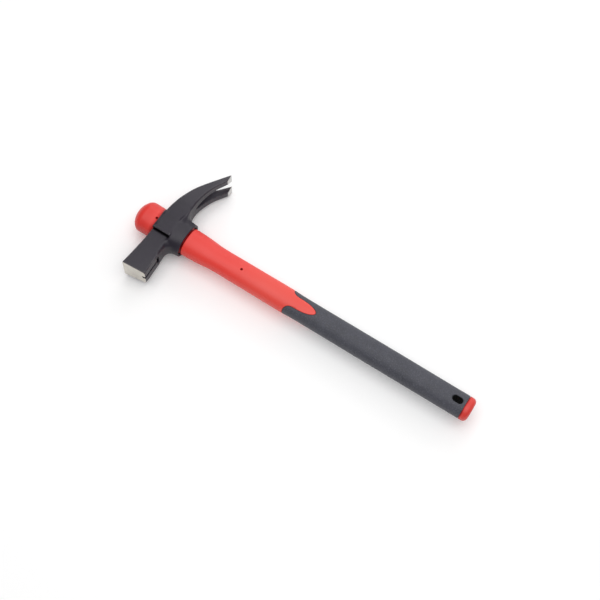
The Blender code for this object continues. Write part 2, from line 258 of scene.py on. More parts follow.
def head_look():
    """Black lacquer over forged steel, ground bare on the face and the claw's tips."""
    material, tree, shader, where = new_look("forged_black_lacquer")
    cloud = noise(tree, where, 95.0, 4.0, 0.55)
    grain = noise(tree, where, 1500.0, 3.0, 0.6)
    fleck = noise(tree, where, 420.0, 5.0, 0.65)
    lacquer = mix_colour(tree, ranged(tree, cloud, 0.3, 0.7, 0.0, 1.0),
                         (0.0075, 0.0040, 0.0130, 1), (0.0125, 0.0080, 0.0190, 1))
    lacquer = mix_colour(tree, ranged(tree, grain, 0.56, 0.8, 0.0, 0.5), lacquer,
                         (0.028, 0.022, 0.034, 1))
    # lacquer paler on the claw's cheeks towards the tips
    pale_cheek = node(tree, "ShaderNodeAttribute", attribute_name="pale_claw_cheeks").outputs["Fac"]
    lacquer = mix_colour(tree, maths(tree, "MULTIPLY", pale_cheek, 0.6), lacquer,
                         (0.040, 0.035, 0.046, 1))
    # painted shade: recesses, creases and the corner before the cheek pads turn near black, rougher and lose
    # their reflection
    painted_recess_shade = node(tree, "ShaderNodeAttribute", attribute_name="painted_recess_shade").outputs["Fac"]
    painted_shade = maths(tree, "MULTIPLY", painted_recess_shade, 0.92)
    lacquer = mix_colour(tree, painted_shade, lacquer,
                         (0.0015, 0.0011, 0.0018, 1))
    # edge wear, which also serves as a painted highlight: the outer edges get lighter, smoother lacquer
    edge = node(tree, "ShaderNodeAttribute", attribute_name="edge").outputs["Fac"]
    worn_and_highlit = maths(tree, "MULTIPLY", ranged(tree, edge, 0.25, 0.95, 0.0, 1.0),
                   ranged(tree, fleck, 0.38, 0.62, 0.25, 1.0))
    lacquer = mix_colour(tree, maths(tree, "MULTIPLY", worn_and_highlit, 0.6), lacquer,
                         (0.105, 0.096, 0.105, 1))
    lines = noise(tree, where, 1.0, 3.0, 0.6, stretch=(130.0, 130.0, 5200.0))
    swirl = noise(tree, where, 160.0, 3.0, 0.5)
    steel = mix_colour(tree, ranged(tree, lines, 0.3, 0.7, 0.0, 1.0),
                       (0.545, 0.52, 0.468, 1), (0.69, 0.655, 0.592, 1))
    steel = mix_colour(tree, ranged(tree, swirl, 0.45, 0.75, 0.0, 0.35), steel,
                       (0.45, 0.425, 0.378, 1))
    ragged = maths(tree, "MULTIPLY", maths(tree, "SUBTRACT", fleck, 0.5), 0.00035)
    shifted = node(tree, "ShaderNodeVectorMath", {
        0: where, 1: node(tree, "ShaderNodeCombineXYZ", {0: ragged, 1: ragged}).outputs[0]},
        operation="ADD").outputs[0]
    tips = past_plane(tree, shifted, (CLAW_TIP_X, 70.0, 0.0), (1.0, 0.0, 0.0), -0.42, -0.26)
    steel = mix_colour(tree, maths(tree, "MULTIPLY", tips, 0.8), steel, (0.545, 0.545, 0.545, 1))
    ground = maths(
        tree, "MAXIMUM",
        past_plane(tree, shifted, (FACE_MID_X, FACE_MID_Y, 0.0), FACE_NORMAL, -0.33, -0.2), tips)
    tree.links.new(mix_colour(tree, ground, lacquer, steel), shader.inputs["Base Color"])
    # the painted shade also cuts the lacquer's reflection through Metallic
    tree.links.new(maths(tree, "MAXIMUM", ground, painted_shade), shader.inputs["Metallic"])
    rough = maths(tree, "ADD", ranged(tree, cloud, 0.3, 0.7, 0.40, 0.47),
                  ranged(tree, grain, 0.35, 0.7, -0.03, 0.06))
    rough = maths(tree, "SUBTRACT", rough, maths(tree, "MULTIPLY", worn_and_highlit, 0.08))
    rough = maths(tree, "ADD", rough, maths(tree, "MULTIPLY", painted_shade, 0.3))
    tree.links.new(mix_value(tree, ground, rough, ranged(tree, lines, 0.3, 0.7, 0.30, 0.46)),
                   shader.inputs["Roughness"])
    scale = noise(tree, where, 240.0, 4.0, 0.6)
    relief = bump(tree, scale, 0.00022, 0.55)
    relief = bump(tree, grain, 0.00006, 0.55, relief)
    cut = bump(tree, lines, 0.00004, 0.5)
    normal = node(tree, "ShaderNodeMix", data_type="VECTOR")
    tree.links.new(ground, normal.inputs[0])
    tree.links.new(relief, normal.inputs[4])
    tree.links.new(cut, normal.inputs[5])
    tree.links.new(normal.outputs[1], shader.inputs["Normal"])
    shader.inputs["Specular IOR Level"].default_value = 0.49
    return material


def red_look(name, seed, deep=1.0):
    """Satin polypropylene with a fine moulded skin, with painted shade in the joints and holes."""
    material, tree, shader, where = new_look(name)
    where = node(tree, "ShaderNodeMapping", {"Vector": where, "Location": (seed, 0.3, 0.1)}).outputs[0]
    cloud = noise(tree, where, 38.0, 3.0, 0.5, stretch=(0.45, 1.0, 1.0))
    skin = noise(tree, where, 1150.0, 3.0, 0.55)
    flow = noise(tree, where, 90.0, 3.0, 0.5, stretch=(0.22, 1.0, 1.0))
    colour = mix_colour(tree, ranged(tree, cloud, 0.3, 0.7, 0.0, 1.0),
                        (0.755 * deep, 0.030, 0.021, 1), (0.805 * deep, 0.039, 0.027, 1))
    colour = mix_colour(tree, ranged(tree, skin, 0.5, 0.75, 0.0, 0.35), colour,
                        (0.845 * deep, 0.060, 0.043, 1))
    # a shade deeper towards the knob and paler along the shaft
    deeper_at_knob = node(tree, "ShaderNodeAttribute", attribute_name="deeper_at_knob").outputs["Fac"]
    colour = mix_colour(tree, deeper_at_knob, colour, (0.700 * deep, 0.020, 0.013, 1))
    paler_on_shaft = node(tree, "ShaderNodeAttribute", attribute_name="paler_on_shaft").outputs["Fac"]
    colour = mix_colour(tree, paler_on_shaft, colour, (0.800 * deep, 0.062, 0.043, 1))
    # painted shade: dark maroon with its reflection cut where the red meets the head, the grip and the cap and
    # inside the pin holes
    painted_red_shade = node(tree, "ShaderNodeAttribute", attribute_name="painted_red_shade").outputs["Fac"]
    colour = mix_colour(tree, painted_red_shade, colour, (0.30, 0.006, 0.008, 1))
    tree.links.new(colour, shader.inputs["Base Color"])
    rough = maths(tree, "ADD", ranged(tree, flow, 0.3, 0.7, 0.40, 0.48),
                  ranged(tree, skin, 0.35, 0.7, -0.03, 0.05))
    tree.links.new(rough, shader.inputs["Roughness"])
    relief = bump(tree, flow, 0.00016, 0.3)
    relief = bump(tree, skin, 0.00005, 0.5, relief)
    tree.links.new(relief, shader.inputs["Normal"])
    tree.links.new(maths(tree, "MULTIPLY", painted_red_shade, 0.85), shader.inputs["Metallic"])
    shader.inputs["Specular IOR Level"].default_value = 0.6
    return material


def grip_look():
    """Soft grey over-moulding with a fine sand-blasted grain."""
    material, tree, shader, where = new_look("grey_soft_grip")
    cloud = noise(tree, where, 60.0, 4.0, 0.55)
    patch = noise(tree, where, 240.0, 4.0, 0.6)
    grain = noise(tree, where, 820.0, 4.0, 0.7)
    pits = node(tree, "ShaderNodeTexVoronoi", {"Vector": where, "Scale": 1250.0},
                feature="SMOOTH_F1").outputs["Distance"]
    colour = mix_colour(tree, ranged(tree, cloud, 0.3, 0.7, 0.0, 1.0),
                        (0.037, 0.038, 0.051, 1), (0.050, 0.051, 0.067, 1))
    colour = mix_colour(tree, ranged(tree, patch, 0.42, 0.72, 0.0, 0.55), colour,
                        (0.063, 0.065, 0.085, 1))
    colour = mix_colour(tree, ranged(tree, grain, 0.5, 0.74, 0.0, 0.9), colour,
                        (0.112, 0.114, 0.140, 1))
    colour = mix_colour(tree, ranged(tree, grain, 0.46, 0.28, 0.0, 0.75), colour,
                        (0.017, 0.0175, 0.026, 1))
    # painted shade: near black, fully rough and without reflection on the hanging hole's wall and the grip's
    # end at the cap
    painted_grip_shade = node(tree, "ShaderNodeAttribute", attribute_name="painted_grip_shade").outputs["Fac"]
    colour = mix_colour(tree, painted_grip_shade, colour, (0.0012, 0.0015, 0.0015, 1))
    tree.links.new(colour, shader.inputs["Base Color"])
    rough = maths(tree, "ADD", ranged(tree, patch, 0.3, 0.7, 0.56, 0.68),
                  ranged(tree, grain, 0.35, 0.7, -0.05, 0.05))
    tree.links.new(mix_value(tree, painted_grip_shade, rough, 1.0), shader.inputs["Roughness"])
    tree.links.new(maths(tree, "MULTIPLY", painted_grip_shade, 0.95), shader.inputs["Metallic"])
    relief = bump(tree, pits, 0.00016, 0.45)
    relief = bump(tree, grain, 0.00010, 0.6, relief)
    tree.links.new(relief, shader.inputs["Normal"])
    shader.inputs["Specular IOR Level"].default_value = 0.6
    shader.inputs["Sheen Weight"].default_value = 0.045
    shader.inputs["Sheen Roughness"].default_value = 0.45
    return material


def core_look():
    """Pultruded glass-fibre rod: long pale strands in resin."""
    material, tree, shader, where = new_look("glass_fibre_rod")
    strands = noise(tree, where, 1.0, 4.0, 0.6, stretch=(25.0, 2600.0, 2600.0))
    tree.links.new(mix_colour(tree, ranged(tree, strands, 0.3, 0.7, 0.0, 1.0),
                              (0.42, 0.36, 0.20, 1), (0.70, 0.64, 0.46, 1)),
                   shader.inputs["Base Color"])
    tree.links.new(ranged(tree, strands, 0.3, 0.7, 0.36, 0.6), shader.inputs["Roughness"])
    tree.links.new(bump(tree, strands, 0.00008, 0.5), shader.inputs["Normal"])
    return material


def magnet_look():
    """Nickel-plated magnet face with fine turned marks and dulled spots."""
    material, tree, shader, where = new_look("nickel_magnet")
    spots = noise(tree, where, 900.0, 4.0, 0.6)
    turned = noise(tree, where, 1.0, 2.0, 0.5, stretch=(300.0, 5200.0, 5200.0))
    tree.links.new(mix_colour(tree, ranged(tree, spots, 0.4, 0.7, 0.0, 1.0),
                              (0.46, 0.45, 0.43, 1), (0.30, 0.29, 0.28, 1)),
                   shader.inputs["Base Color"])
    tree.links.new(ranged(tree, turned, 0.3, 0.7, 0.28, 0.48), shader.inputs["Roughness"])
    tree.links.new(bump(tree, turned, 0.00003, 0.5), shader.inputs["Normal"])
    shader.inputs["Metallic"].default_value = 1.0
    return material


HEAD_LOOK, GRIP_LOOK = head_look(), grip_look()
RED_LOOK, CAP_LOOK = red_look("red_polypropylene", 0.0), red_look("red_polypropylene_cap", 0.7, 0.88)

# ------------------------------------------------------------------ head: field
# distance of the section, tilt, low x, high x, half thickness at the low and the high side
POLL = np.array((
    (FACE_MID_Y - 0.1, 1.0, FACE_LOW_X - 0.02, FACE_HIGH_X + 0.02, 13.35, 10.55),
    (-46.0, 0.8, -34.3, -11.6, 12.6, 10.75),
    (-34.0, 0.4, -33.4, -12.1, 11.8, 10.95),
    (-22.0, 0.0, -32.6, -12.6, 11.35, 11.15),
    (-6.0, 0.0, -32.2, -13.0, 11.2, 11.2),
))
# outer (convex) line, inner (concave) line, half thickness on each
CLAW = np.array((
    (-31.35, PAD_FRONT + 3.0, -13.0, PAD_FRONT + 3.0, 14.85, 14.85),
    (-31.35, 0.0, -13.0, 0.0, 14.85, 14.85),
    (-31.35, 9.0, -12.4, 9.0, 14.85, 14.75),
    (-31.2, 14.5, -11.0, 14.5, 14.65, 14.1),
    (-30.55, 20.7, -11.4, 20.0, 14.1, 13.1),
    (-29.1, 28.7, -12.6, 26.5, 13.4, 11.4),
    (-26.4, 37.2, -12.6, 34.0, 13.15, 11.65),
    (-22.6, 45.5, -11.3, 41.8, 13.55, 12.75),
    (-17.7, 53.0, -9.1, 49.6, 14.35, 13.8),
    (-12.3, 60.0, -6.2, 57.0, 15.3, 14.6),
    (-6.1, 67.5, -2.4, 63.6, 16.5, 15.25),
    (CLAW_TIP_X, CLAW_TIP_Y, CLAW_TIP_X, 69.0, CLAW_TIP_Z, 16.0),
))
# place along the claw, half width of the slot on the outer and on the inner line
SLOT = ((0.545, 0.8, 1.3), (0.575, 1.2, 2.4), (0.635, 2.1, 4.0), (0.70, 3.1, 5.3),
        (0.75, 3.7, 6.0), (0.80, 4.2, 6.6), (0.855, 4.6, 7.3), (0.91, 4.8, 7.9), (1.0, 4.5, 8.1))
# station, half width, half thickness and squareness of the collar
COLLAR = ((-22.0, 18.2, 14.85, 2.75), (-13.0, 18.2, 14.85, 2.75), (-9.0, 18.05, 14.7, 2.5),
          (-4.0, 17.75, 14.4, 2.25), (0.0, 17.45, 14.15, 2.15), (0.6, 17.4, 14.1, 2.15))


def soft_max(a, b, k):
    h = np.maximum(k - np.abs(a - b), 0.0) / k
    return np.maximum(a, b) + h * h * k * 0.25


def soft_min(a, b, k):
    h = np.maximum(k - np.abs(a - b), 0.0) / k
    return np.minimum(a, b) - h * h * k * 0.25


def chamfered(a, b, leg, k=0.3):
    """Intersection with a flat chamfer along the edge, its own edges eased."""
    return soft_max(soft_max(a, b, k), (a + b + leg) * 0.70711, k)


def filleted(a, b, r):
    """Union with a round concave fillet."""
    return (np.maximum(r, np.minimum(a, b))
            - np.hypot(np.maximum(r - a, 0.0), np.maximum(r - b, 0.0)))


def along_line(px, py, line):
    """Signed side distance to an open line (left is positive) and the place along it."""
    best = np.full(px.shape, 1e9)
    side = np.zeros(px.shape)
    at = np.zeros(px.shape)
    for k in range(len(line) - 1):
        (ax, ay), (bx, by) = line[k], line[k + 1]
        dx, dy = bx - ax, by - ay
        t = np.clip(((px - ax) * dx + (py - ay) * dy) / (dx * dx + dy * dy), 0.0, 1.0)
        d = np.hypot(px - ax - t * dx, py - ay - t * dy)
        near = d < best
        best = np.where(near, d, best)
        side = np.where(near, dx * (py - ay) - dy * (px - ax), side)
        at = np.where(near, k + t, at)
    return np.copysign(best, side), at


def oval_field(y, z, a, b, power=OVAL_POWER):
    """Radial distance to the handle's oval, or to a squarer one."""
    ratio = ((np.abs(y) / a) ** power + (np.abs(z) / b) ** power) ** (1.0 / power)
    return np.hypot(y, z) * (1.0 - 1.0 / np.maximum(ratio, 1e-6))


def head_field(x, y, z):
    """Below zero inside the head; x, y and z broadcast as a grid."""
    flat_x, flat_y = np.broadcast_arrays(x, y)
    tan = math.tan(FACE_TILT)

    # poll: a flaring block with a tilted, chamfered face
    rows = spline_rows(POLL, 64)
    level = flat_y - np.interp(flat_y, rows[:, 0], rows[:, 1]) * tan * (flat_x - FACE_MID_X)
    level = flat_y - np.interp(level, rows[:, 0], rows[:, 1]) * tan * (flat_x - FACE_MID_X)
    low, high, half_low, half_high = (np.interp(level, rows[:, 0], rows[:, k]) for k in (2, 3, 4, 5))
    mid = (low + high) / 2.0
    half = half_low + (half_high - half_low) * np.clip((flat_x - low) / (high - low), -0.1, 1.1)
    handle_side = 0.9 + 1.3 * smoothstep(-51.5, -54.8, level) + 1.7 * smoothstep(-34.0, -27.0, level)
    radius = np.where(flat_x > mid, handle_side, 1.1)
    qx = np.abs(flat_x - mid) - ((high - low) / 2.0 - radius)
    qz = np.abs(z) - (half - radius)
    poll = (np.hypot(np.maximum(qx, 0.0), np.maximum(qz, 0.0))
            + np.minimum(np.maximum(qx, qz), 0.0) - radius)
    face = (FACE_MID_Y + tan * (flat_x - FACE_MID_X) - flat_y) * math.cos(FACE_TILT)
    poll = chamfered(poll, face, FACE_CHAMFER, 0.2)
    poll = np.maximum(poll, flat_y + 3.0)

    # claw: a curved wedge that thins and spreads towards the tips
    rows = spline_rows(CLAW, 132)
    outer_line = np.vstack(((-31.35, -60.0), rows[:, 0:2],
                            rows[-1, 0:2] + 6.0 * (rows[-1, 0:2] - rows[-4, 0:2])))
    inner_line = np.vstack(((-13.0, -60.0), rows[:, 2:4],
                            rows[-1, 2:4] + 6.0 * (rows[-1, 2:4] - rows[-4, 2:4])))
    outer, _ = along_line(flat_x, flat_y, outer_line)
    inner, _ = along_line(flat_x, flat_y, inner_line)
    inner = -inner
    _, place_on = along_line(flat_x, flat_y, (rows[:, 0:2] + rows[:, 2:4]) / 2.0)
    across = np.clip(-outer / np.maximum(-outer - inner, 0.5), -0.4, 1.4)
    count = np.arange(len(rows))
    thick_outer = np.interp(place_on, count, rows[:, 4])
    thick_inner = np.interp(place_on, count, rows[:, 5])
    cheek = np.abs(z) - (thick_outer + (thick_inner - thick_outer) * across)
    slim = smoothstep(132.0, 88.0, place_on)
    claw = np.maximum(chamfered(outer, cheek, 0.35 + 0.55 * slim),
                      chamfered(inner, cheek, 0.4 + 0.9 * slim))
    claw = soft_max(claw, flat_x - CLAW_TIP_X, 0.2)
    claw = soft_max(claw, PAD_FRONT + 2.0 - flat_y, 0.4)

    # cheek block round the eye: crisp in front, eased towards the collar and the claw
    top = np.abs(z) - PAD_Z
    block = chamfered(EYE_TOP - flat_x, top, 1.6, 0.4)
    block = soft_max(block, flat_x - PAD_SIDE, 1.2 + 2.5 * smoothstep(-9.0, -3.0, flat_y))
    block = soft_max(block, flat_y - PAD_BACK, 1.4 + 3.1 * smoothstep(-30.6, -27.0, flat_x))
    block = chamfered(block, PAD_FRONT - flat_y, 0.45)
    block = soft_min(block, claw, 1.6)

    # collar with a slightly flared rim
    stations = np.array(COLLAR)
    line_a = monotone(stations[:, (0, 1)])(flat_x)
    line_b = monotone(stations[:, (0, 2)])(flat_x)
    squareness = monotone(stations[:, (0, 3)])(flat_x)
    collar = soft_max(oval_field(y, z, line_a, line_b, squareness), flat_x, 0.35)
    collar = soft_max(collar, -13.6 - 9.0 * smoothstep(-9.6, -8.6, flat_y) - flat_x, 1.6)

    reach = 6.8 - 4.4 * smoothstep(7.5, 11.5, np.abs(z)) + 0.0 * flat_x
    body = filleted(poll, collar, reach)
    easing = smoothstep(-16.0, -12.5, flat_x) * (0.4 + 1.8 * smoothstep(9.0, 14.0, -flat_y)
                                                 + 4.6 * smoothstep(5.0, 11.0, flat_y))
    body = soft_min(body, block, 0.3 + easing + 0.0 * z)

    # eye, slot between the tines, nail groove, nail-head pocket and magnet seat
    taper = RIM_A + (EYE_TOP_A - RIM_A) * flat_x / EYE_TOP
    clear = EYE_CLEAR + 0.85 * smoothstep(-1.7, 0.1, flat_x)
    eye = oval_field(y, z, taper + clear, taper * OVAL + clear)
    body = soft_max(body, -eye, 0.5)
    share = place_on / 132.0
    table = np.array(SLOT)
    slot_outer, slot_inner = (monotone(table[:, (0, k)])(share) for k in (1, 2))
    slot_half = slot_outer + (slot_inner - slot_outer) * across
    before = np.maximum(table[0, 0] - share, 0.0) * 100.0
    slot = np.hypot(np.abs(z), before) - slot_half
    body = chamfered(body, -slot, 0.3, 0.3)
    bottom = np.interp(flat_y, (FACE_MID_Y, -34.0), (FACE_HIGH_X, -12.1)) - GROOVE_DEPTH
    groove = soft_max(bottom - flat_x, np.abs(z - GROOVE_Z) - GROOVE_HALF, 0.9)
    groove = np.maximum(groove, flat_y + 33.0)
    body = soft_max(body, -groove, 0.25)
    pocket = np.maximum(np.maximum(-16.6 - flat_x, flat_x + 8.0),
                        np.maximum(np.maximum(POCKET_Y[0] - flat_y, flat_y - POCKET_Y[1]),
                                   np.abs(z - GROOVE_Z) - POCKET_HALF))
    body = soft_max(body, -pocket, 0.3)
    seat = np.maximum(np.hypot(flat_y - MAGNET_Y, z - GROOVE_Z) - (MAGNET_R + 0.2), -19.4 - flat_x)
    seat = np.maximum(seat, flat_x + 8.0)
    return soft_max(body, -seat, 0.3)


# ------------------------------------------------------------------- head: mesh
def blurred(values, sigma):
    reach = int(math.ceil(2.5 * sigma))
    kernel = np.exp(-0.5 * (np.arange(-reach, reach + 1) / sigma) ** 2)
    kernel /= kernel.sum()
    for axis in range(3):
        pad = [(reach, reach) if k == axis else (0, 0) for k in range(3)]
        wide = np.pad(values, pad, mode="edge")
        values = sum(weight * np.take(wide, range(k, k + values.shape[axis]), axis=axis)
                     for k, weight in enumerate(kernel))
    return values


def sampled(values, at):
    """Trilinear values of a grid at points in grid steps."""
    base = np.clip(np.floor(at).astype(int), 0, np.array(values.shape) - 2)
    f = at - base
    total = 0.0
    for dx in (0, 1):
        for dy in (0, 1):
            for dz in (0, 1):
                weight = (np.where(dx, f[:, 0], 1 - f[:, 0]) * np.where(dy, f[:, 1], 1 - f[:, 1])
                          * np.where(dz, f[:, 2], 1 - f[:, 2]))
                total = total + weight * values[base[:, 0] + dx, base[:, 1] + dy, base[:, 2] + dz]
    return total


def surface_net(values):
    """Quads round the zero level of a grid, one vertex in each cell it crosses."""
    inside = values < 0.0
    shape = tuple(n - 1 for n in values.shape)
    corners = [(dx, dy, dz) for dx in (0, 1) for dy in (0, 1) for dz in (0, 1)]
    count = np.zeros(shape, np.int8)
    for dx, dy, dz in corners:
        count += inside[dx:dx + shape[0], dy:dy + shape[1], dz:dz + shape[2]]
    cells = np.argwhere((count > 0) & (count < 8))
    index = np.full(shape, -1, int)
    index[tuple(cells.T)] = np.arange(len(cells))
    held = {c: values[cells[:, 0] + c[0], cells[:, 1] + c[1], cells[:, 2] + c[2]] for c in corners}
    total, crossings = np.zeros((len(cells), 3)), np.zeros(len(cells))
    for a in corners:
        for axis in range(3):
            if a[axis]:
                continue
            b = tuple(1 if k == axis else a[k] for k in range(3))
            va, vb = held[a], held[b]
            cross = (va < 0.0) != (vb < 0.0)
            t = np.where(cross, va / np.where(cross, va - vb, 1.0), 0.0)
            point = np.array(a, float) + t[:, None] * (np.array(b, float) - np.array(a, float))
            total += np.where(cross[:, None], point, 0.0)
            crossings += cross
    verts = cells + total / crossings[:, None]
    faces = []
    for axis in range(3):
        u, v = [k for k in range(3) if k != axis]
        step = [slice(None)] * 3
        nxt = [slice(None)] * 3
        step[axis], nxt[axis] = slice(0, -1), slice(1, None)
        first, second = inside[tuple(step)], inside[tuple(nxt)]
        edges = np.argwhere(first != second)
        edges = edges[(edges[:, u] > 0) & (edges[:, v] > 0)
                      & (edges[:, u] < shape[u]) & (edges[:, v] < shape[v])]
        ring = []
        for du, dv in ((1, 1), (0, 1), (0, 0), (1, 0)):
            cell = edges.copy()
            cell[:, u] -= du
            cell[:, v] -= dv
            ring.append(index[tuple(cell.T)])
        quad = np.stack(ring, axis=1)
        flip = first[tuple(edges.T)] if axis != 1 else ~first[tuple(edges.T)]
        quad[~flip] = quad[~flip][:, ::-1]
        faces.append(quad)
    return verts, np.concatenate(faces)


def build_head(step=0.4):
    low, high = np.array((-37.2, -58.2, -19.8)), np.array((3.0, 77.6, 19.8))
    size = np.ceil((high - low) / step).astype(int) + 1
    axes = [low[k] + step * np.arange(size[k]) for k in range(3)]
    values = head_field(axes[0][:, None, None], axes[1][None, :, None], axes[2][None, None, :])
    at, faces = surface_net(values)
    slopes = np.gradient(values)
    for _ in range(5):
        level = sampled(values, at)
        slope = np.stack([sampled(g, at) for g in slopes], axis=1)
        move = -level[:, None] * slope / np.maximum((slope ** 2).sum(1), 0.2 * step ** 2)[:, None]
        at = at + np.clip(move, -0.35, 0.35)
    # rounded-off level tells how sharply the surface turns: 1 on sharp outer edges, where the lacquer shows
    # wear and a painted highlight
    edge = np.clip(sampled(blurred(values, 1.0 / step), at) / 0.4, 0.0, 1.0)
    # and the same over a wider reach tells how deep it lies in a recess, where the lacquer gets painted shade
    painted_recess_shade = np.clip(sampled(blurred(values, 2.0 / step), at) / -1.0, 0.0, 1.0)
    verts = low + at * step
    # painted shade, deepest in the corner in front of the cheek pads
    x, y, z = verts[:, 0], verts[:, 1], np.abs(verts[:, 2])
    corner = (smoothstep(2.4, 0.7, PAD_FRONT - y) * (y < PAD_FRONT + 0.5)
              * smoothstep(8.5, 10.0, z) * smoothstep(PAD_Z - 0.3, PAD_Z - 0.8, z)
              * smoothstep(PAD_SIDE + 0.3, PAD_SIDE - 1.2, x))
    painted_recess_shade = np.maximum(smoothstep(0.45, 1.0, painted_recess_shade), corner)
    rim = smoothstep(-3.0, -1.6, verts[:, 0]) * smoothstep(24.0, 20.0, np.abs(verts[:, 1]))
    edge *= 1.0 - rim
    head = mesh_object("head_forging", verts, faces.tolist(), [HEAD_LOOK])
    mark(head, "edge", edge)
    mark(head, "painted_recess_shade", painted_recess_shade)
    # lacquer paler on the claw's upper and lower cheeks towards the tips
    mark(head, "pale_claw_cheeks", smoothstep(22.0, 52.0, y) * smoothstep(9.5, 11.5, z))
    tidy(head)
    return head


head = build_head()

# --------------------------------------------------------------- handle: lofts
QUARTER = 52                     # columns in a quarter of the girth
AROUND = 4 * QUARTER


def knob_rows():
    """Rows of the knob's crowned end, from its middle out to its straight side."""
    rows = []
    for r in np.linspace(0.7, KNOB_CREST, 22):
        rows.append((KNOB_CROWN - math.sqrt(KNOB_CROWN ** 2 - r * r), r))
    h0, r0 = rows[-1]
    slope = r0 / math.sqrt(KNOB_CROWN ** 2 - r0 * r0)
    corner = np.array(((h0, r0), (h0 + 2.4 * slope, r0 + 2.4), (KNOB_SIDE - 2.7, KNOB_A), (KNOB_SIDE, KNOB_A)))
    for t in np.arange(1, 19) / 18.0:
        share = np.array(((1 - t) ** 3, 3 * t * (1 - t) ** 2, 3 * t * t * (1 - t), t ** 3))
        rows.append(tuple(share @ corner))
    return [(KNOB_END + h, r) for h, r in rows]


casing_a = monotone([(KNOB_END + KNOB_SIDE, KNOB_A), (-40.0, KNOB_A - 0.05), (EYE_TOP, EYE_TOP_A),
                     (0.0, RIM_A),
                     (10.0, 14.15), (20.0, 13.6), (26.0, 13.0), (32.0, 12.5), (42.0, 12.25),
                     (54.0, SHAFT_A), (84.0, SHAFT_A + 0.08), (102.0, SHAFT_A + 0.2),
                     (112.0, SHAFT_A + 0.18), (122.0, GRIP_A + 0.15), (134.0, GRIP_A),
                     (150.0, GRIP_A), (200.0, GRIP_A + 0.05), (250.0, GRIP_A), (285.0, 11.85),
                     (CAP_LINE, 11.9), (BUTT_END, 11.85)])


def on_oval(x, phi, a, sink=0.0):
    """Point of the oval of half width a at angle phi, sunk below the surface."""
    a = np.asarray(a, float)
    b = a * OVAL
    c, s = np.cos(phi), np.sin(phi)
    e = 2.0 / OVAL_POWER
    y = a * np.copysign(np.abs(c) ** e, c)
    z = b * np.copysign(np.abs(s) ** e, s)
    if np.any(sink):
        ny = np.copysign((np.abs(y) / a) ** (OVAL_POWER - 1.0), y) / a
        nz = np.copysign((np.abs(z) / b) ** (OVAL_POWER - 1.0), z) / b
        length = np.hypot(ny, nz)
        y, z = y - sink * ny / length, z - sink * nz / length
    return np.stack(np.broadcast_arrays(np.asarray(x, float), y, z), axis=-1)


def oval_top(x, y):
    """Height of the handle's upper surface."""
    a = casing_a(x)
    return a * OVAL * (1.0 - np.minimum(np.abs(y) / a, 1.0) ** OVAL_POWER) ** (1.0 / OVAL_POWER)


# girth length from the side (0) to the top, on a middle section
_phi = np.linspace(0.0, math.pi / 2.0, 721)
_ring = on_oval(0.0, _phi, 12.2)
_girth = np.concatenate(([0.0], np.cumsum(np.linalg.norm(np.diff(_ring, axis=0), axis=1))))
GIRTH_TOP = _girth[-1]


def girth_of(y, x):
    """Girth length of a point seen at half width y on the upper side."""
    c = np.clip(np.abs(y) / casing_a(x), 0.0, 1.0) ** (OVAL_POWER / 2.0)
    return np.interp(np.arccos(c), _phi, _girth)


def phi_of(girth):
    """Angle of a girth length measured all round from the side."""
    turns, rest = np.divmod(np.asarray(girth, float), 2.0 * GIRTH_TOP)
    rising = np.interp(rest, _girth, _phi)
    falling = math.pi - np.interp(2.0 * GIRTH_TOP - rest, _girth, _phi)
    return turns * math.pi + np.where(rest <= GIRTH_TOP, rising, falling)


def boundary_quarter():
    """Joint of red and grey in a quarter of the girth: (x, girth length) from side to top."""
    points = []
    depth, side = TONGUE_ROOT_X - LOBE_X, GRIP_A + 0.5 - TONGUE_ROOT_Y
    for k in range(25):
        t = math.pi / 2.0 * k / 24
        points.append((TONGUE_ROOT_X - depth * math.cos(t), GRIP_A + 0.5 - side * math.sin(t)))
    for k in range(1, 13):
        f = k / 13.0
        points.append((TONGUE_ROOT_X + (TONGUE_BEND_X - TONGUE_ROOT_X) * f,
                       TONGUE_ROOT_Y + (TONGUE_BEND_Y - TONGUE_ROOT_Y) * f))
    for k in range(25):
        t = math.pi / 2.0 * k / 24
        points.append((TONGUE_BEND_X + (TONGUE_TIP_X - TONGUE_BEND_X) * math.sin(t),
                       TONGUE_BEND_Y * math.cos(t)))
    x, y = np.array(points).T
    line = np.stack((x, girth_of(y, x)), axis=1)
    line = np.vstack(((LOBE_X, 0.0), line[line[:, 1] > 0.3]))
    line[-1, 1] = GIRTH_TOP
    # even columns, with the straight sides of the tongue drawn closer
    run = np.linalg.norm(np.diff(line, axis=0) * (0.45, 1.0), axis=1)
    s = np.concatenate(([0.0], np.cumsum(run)))
    grid = np.linspace(0.0, s[-1], QUARTER + 1)
    out = np.stack((np.interp(grid, s, line[:, 0]), np.interp(grid, s, line[:, 1])), axis=1)
    for _ in range(2):                      # takes the corners off
        out[1:-1] = 0.25 * out[:-2] + 0.5 * out[1:-1] + 0.25 * out[2:]
    return out


_quarter = boundary_quarter()


def unfolded(line):
    """The quarter repeated round the whole girth."""
    x, g = line[:-1, 0], line[:-1, 1]
    top_x, top_g = line[::-1][:-1, 0], 2.0 * GIRTH_TOP - line[::-1][:-1, 1]
    half_x, half_g = np.concatenate((x, top_x)), np.concatenate((g, top_g))
    return np.concatenate((half_x, half_x)), np.concatenate((half_g, half_g + 2.0 * GIRTH_TOP))


JOINT_X, JOINT_G = unfolded(_quarter)
_whole = 4.0 * GIRTH_TOP
_ahead_x, _ahead_g = np.roll(JOINT_X, -1), np.roll(JOINT_G, -1)
_behind_x, _behind_g = np.roll(JOINT_X, 1), np.roll(JOINT_G, 1)
_ahead_g[-1] += _whole
_behind_g[0] -= _whole
_tx, _tg = _ahead_x - _behind_x, _ahead_g - _behind_g
_len = np.hypot(_tx, _tg)
JOINT_NX, JOINT_NG = _tg / _len, -_tx / _len      # square to the joint, towards the butt


